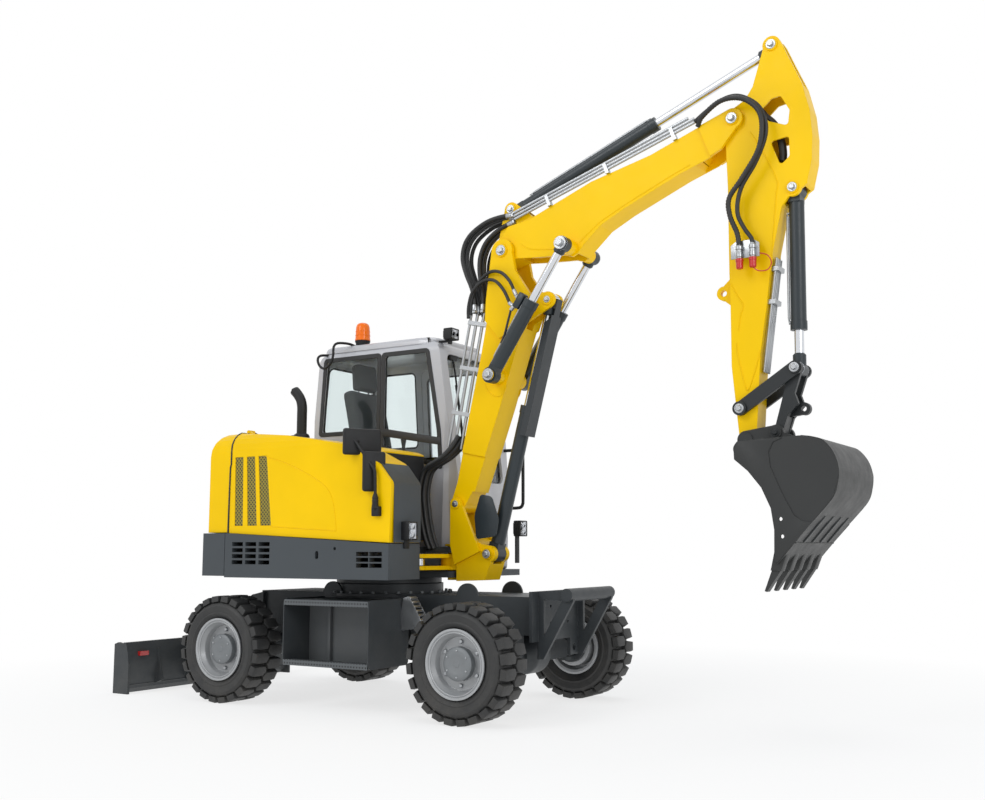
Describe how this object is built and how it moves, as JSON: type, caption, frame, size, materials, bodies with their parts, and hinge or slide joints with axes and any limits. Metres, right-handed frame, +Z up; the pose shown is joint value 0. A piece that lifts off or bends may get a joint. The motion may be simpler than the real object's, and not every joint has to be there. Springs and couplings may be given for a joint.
{
  "type": "wheeled excavator",
  "caption": "Compact wheeled excavator with slewing upper carriage, closed cab, swing post, two-piece boom, stick, toothed bucket and rear dozer blade on lugged tyres.",
  "frame": {"origin": "ground level under the middle of the part's outline", "axes": "+X forward, the way the boom points; +Y to the machine's left, the cab side; +Z up"},
  "size_m": [5.7987, 2.0024, 4.6718],
  "materials": {
    "yellow": "gloss",
    "grey": "satin",
    "dark": "satin",
    "silver": "satin",
    "tyre": "matte",
    "chrome": "polished",
    "glass": "clear",
    "plastic": "matte",
    "orange": "gloss",
    "red": "gloss",
    "steel_line": "satin",
    "fabric": "matte",
    "cab_shell": "satin",
    "iron": "satin",
    "engine": "satin"
  },
  "bodies": {
    "chassis": {"chassis_frame": "grey", "front_frame": "dark", "side_steps": "dark", "rear_axle": "grey", "front_axle": "grey", "slew_ring": "dark"},
    "blade": {"dozer_blade": "grey", "blade_lamps": "red"},
    "blade_barrel": {"blade_barrels": "dark"},
    "blade_rod": {"blade_rods": "chrome"},
    "knuckle_left": {"knuckle_left": "grey"},
    "knuckle_right": {"knuckle_right": "grey"},
    "wheel_front_left": {"tyre_front_left": "tyre", "rim_front_left": "silver"},
    "wheel_front_right": {"tyre_front_right": "tyre", "rim_front_right": "silver"},
    "wheel_rear_left": {"tyre_rear_left": "tyre", "rim_rear_left": "silver"},
    "wheel_rear_right": {"tyre_rear_right": "tyre", "rim_rear_right": "silver"},
    "upper": {"upper_frame": "dark", "counterweight": "iron", "side_skirts": "grey", "hood_right": "yellow", "bulkhead": "yellow", "engine_block": "engine", "cab_frame": "cab_shell", "cab_glass": "glass", "seat": "fabric", "console": "plastic", "beacon": "orange", "exhaust": "dark", "mirrors": "plastic", "work_lamps": "plastic", "grab_rails": "plastic"},
    "door": {"cab_door": "cab_shell", "door_glass": "glass"},
    "tail_hood": {"rear_hood": "yellow"},
    "king": {"king_post": "yellow"},
    "swing_barrel": {"swing_barrel": "dark"},
    "swing_rod": {"swing_rod": "chrome"},
    "lower_boom": {"boom_lower": "yellow", "lower_boom_lines": "steel_line"},
    "lift_barrel": {"lift_barrel": "dark"},
    "lift_rod": {"lift_rod": "chrome", "rod_guard": "dark"},
    "upper_boom": {"boom_upper": "yellow", "upper_boom_lines": "steel_line"},
    "adjust_barrel": {"adjust_barrels": "dark"},
    "adjust_rod": {"adjust_rods": "chrome"},
    "stick": {"stick": "yellow", "stick_lines": "steel_line"},
    "stick_barrel": {"stick_barrel": "dark"},
    "stick_rod": {"stick_rod": "chrome"},
    "rocker": {"rocker": "dark"},
    "link": {"link": "dark"},
    "bucket": {"bucket": "grey"},
    "bucket_barrel": {"bucket_barrel": "dark"},
    "bucket_rod": {"bucket_rod": "chrome"}
  },
  "joints": [
    {"name": "slew", "type": "hinge", "parent": "chassis", "child": "upper", "pos_m": [-0.82707, 0, 0.89], "axis": [0, 0, 1], "continuous": true},
    {"name": "steer_left", "type": "hinge", "parent": "chassis", "child": "knuckle_left", "pos_m": [0.45293, 0.6, 0.405], "axis": [0, 0, 1], "range_deg": [-30, 30]},
    {"name": "steer_right", "type": "hinge", "parent": "chassis", "child": "knuckle_right", "pos_m": [0.45293, -0.6, 0.405], "axis": [0, 0, 1], "range_deg": [-30, 30]},
    {"name": "spin_front_left", "type": "hinge", "parent": "knuckle_left", "child": "wheel_front_left", "pos_m": [0.45293, 0.835, 0.405], "axis": [0, 1, 0], "continuous": true},
    {"name": "spin_front_right", "type": "hinge", "parent": "knuckle_right", "child": "wheel_front_right", "pos_m": [0.45293, -0.835, 0.405], "axis": [0, 1, 0], "continuous": true},
    {"name": "spin_rear_left", "type": "hinge", "parent": "chassis", "child": "wheel_rear_left", "pos_m": [-1.72707, 0.835, 0.405], "axis": [0, 1, 0], "continuous": true},
    {"name": "spin_rear_right", "type": "hinge", "parent": "chassis", "child": "wheel_rear_right", "pos_m": [-1.72707, -0.835, 0.405], "axis": [0, 1, 0], "continuous": true},
    {"name": "blade_lift", "type": "hinge", "parent": "chassis", "child": "blade", "pos_m": [-1.98707, 0, 0.45], "axis": [0, 1, 0], "range_deg": [-15, 25]},
    {"name": "blade_barrel_tilt", "type": "hinge", "parent": "chassis", "child": "blade_barrel", "pos_m": [-1.94707, 0, 0.74], "axis": [0, -1, 0], "range_deg": [-20.1, 12.06]},
    {"name": "blade_rod_slide", "type": "slide", "parent": "blade_barrel", "child": "blade_rod", "axis": [-0.8564, 0, -0.5163], "range_m": [-0.1066, 0.0644]},
    {"name": "door_open", "type": "hinge", "parent": "upper", "child": "door", "pos_m": [-1.13507, 0.967, 1.9], "axis": [0, 0, 1], "range_deg": [0, 110]},
    {"name": "tail_hood_open", "type": "hinge", "parent": "upper", "child": "tail_hood", "pos_m": [-1.70207, 0, 2.097], "axis": [0, 1, 0], "range_deg": [0, 50]},
    {"name": "boom_swing", "type": "hinge", "parent": "upper", "child": "king", "pos_m": [-0.21707, 0, 1.07], "axis": [0, 0, 1], "range_deg": [-55, 35]},
    {"name": "swing_barrel_turn", "type": "hinge", "parent": "upper", "child": "swing_barrel", "pos_m": [-1.19707, -0.34, 1.07], "axis": [0, 0, 1], "range_deg": [-6.75, 10.6]},
    {"name": "swing_rod_slide", "type": "slide", "parent": "swing_barrel", "child": "swing_rod", "axis": [1, 0, 0], "range_m": [-0.2633, 0.1679]},
    {"name": "boom_lift", "type": "hinge", "parent": "king", "child": "lower_boom", "pos_m": [-0.10207, 0, 1.511], "axis": [0, -1, 0], "range_deg": [-84, 6]},
    {"name": "lift_barrel_tilt", "type": "hinge", "parent": "king", "child": "lift_barrel", "pos_m": [0.17493, 0, 1.131], "axis": [0, -1, 0], "range_deg": [-84.11, 6.01]},
    {"name": "lift_rod_slide", "type": "slide", "parent": "lift_barrel", "child": "lift_rod", "axis": [0.2548, 0, 0.967], "range_m": [-0.6479, 0.0472]},
    {"name": "boom_adjust", "type": "hinge", "parent": "lower_boom", "child": "upper_boom", "pos_m": [0.31887, 0, 3.44164], "axis": [0, -1, 0], "range_deg": [-38, 8]},
    {"name": "adjust_barrel_tilt", "type": "hinge", "parent": "lower_boom", "child": "adjust_barrel", "pos_m": [0.2829, 0, 2.46457], "axis": [0, -1, 0], "range_deg": [-6.01, 1.27]},
    {"name": "adjust_rod_slide", "type": "slide", "parent": "adjust_barrel", "child": "adjust_rod", "axis": [0.5551, 0, 0.8318], "range_m": [-0.3731, 0.0793]},
    {"name": "stick_curl", "type": "hinge", "parent": "upper_boom", "child": "stick", "pos_m": [2.17308, 0, 4.12753], "axis": [0, 1, 0], "range_deg": [-90, 30]},
    {"name": "stick_barrel_tilt", "type": "hinge", "parent": "upper_boom", "child": "stick_barrel", "pos_m": [0.36823, 0, 3.7755], "axis": [0, -1, 0], "range_deg": [-2.64, 7.91]},
    {"name": "stick_rod_slide", "type": "slide", "parent": "stick_barrel", "child": "stick_rod", "axis": [0.9286, 0, 0.3711], "range_m": [-0.6962, 0.2327]},
    {"name": "bucket_tilt", "type": "hinge", "parent": "stick", "child": "bucket", "pos_m": [2.21407, 0, 1.88798], "axis": [0, -1, 0], "range_deg": [-150, 15]},
    {"name": "rocker_swing", "type": "hinge", "parent": "stick", "child": "rocker", "pos_m": [2.17214, 0, 2.10228], "axis": [0, -1, 0], "range_deg": [-81.88, 8.19]},
    {"name": "link_swing", "type": "hinge", "parent": "rocker", "child": "link", "pos_m": [2.55065, 0, 2.35116], "axis": [0, -1, 0], "range_deg": [-1.79, 17.86]},
    {"name": "bucket_barrel_tilt", "type": "hinge", "parent": "stick", "child": "bucket_barrel", "pos_m": [2.56922, 0, 3.57695], "axis": [0, -1, 0], "range_deg": [-0.14, 1.38]},
    {"name": "bucket_rod_slide", "type": "slide", "parent": "bucket_barrel", "child": "bucket_rod", "axis": [-0.0151, 0, -0.9999], "range_m": [-0.0617, 0.6077]}
  ],
  "couplings": [
    {"joint": "steer_right", "follows": "steer_left", "ratio": 1},
    {"joint": "blade_barrel_tilt", "follows": "blade_lift", "ratio": -0.78805},
    {"joint": "blade_rod_slide", "follows": "blade_lift", "m_per_rad": -0.23728},
    {"joint": "swing_barrel_turn", "follows": "boom_swing", "ratio": -0.18899},
    {"joint": "swing_rod_slide", "follows": "boom_swing", "m_per_rad": 0.26791},
    {"joint": "lift_barrel_tilt", "follows": "boom_lift", "ratio": 0.98161},
    {"joint": "lift_rod_slide", "follows": "boom_lift", "m_per_rad": 0.43257},
    {"joint": "adjust_barrel_tilt", "follows": "boom_adjust", "ratio": 0.15517},
    {"joint": "adjust_rod_slide", "follows": "boom_adjust", "m_per_rad": 0.55004},
    {"joint": "stick_barrel_tilt", "follows": "stick_curl", "ratio": -0.08616},
    {"joint": "stick_rod_slide", "follows": "stick_curl", "m_per_rad": 0.43388},
    {"joint": "rocker_swing", "follows": "bucket_tilt", "ratio": 0.53517},
    {"joint": "link_swing", "follows": "bucket_tilt", "ratio": -0.11672},
    {"joint": "bucket_barrel_tilt", "follows": "bucket_tilt", "ratio": -0.00901},
    {"joint": "bucket_rod_slide", "follows": "bucket_tilt", "m_per_rad": -0.22721}
  ]
}
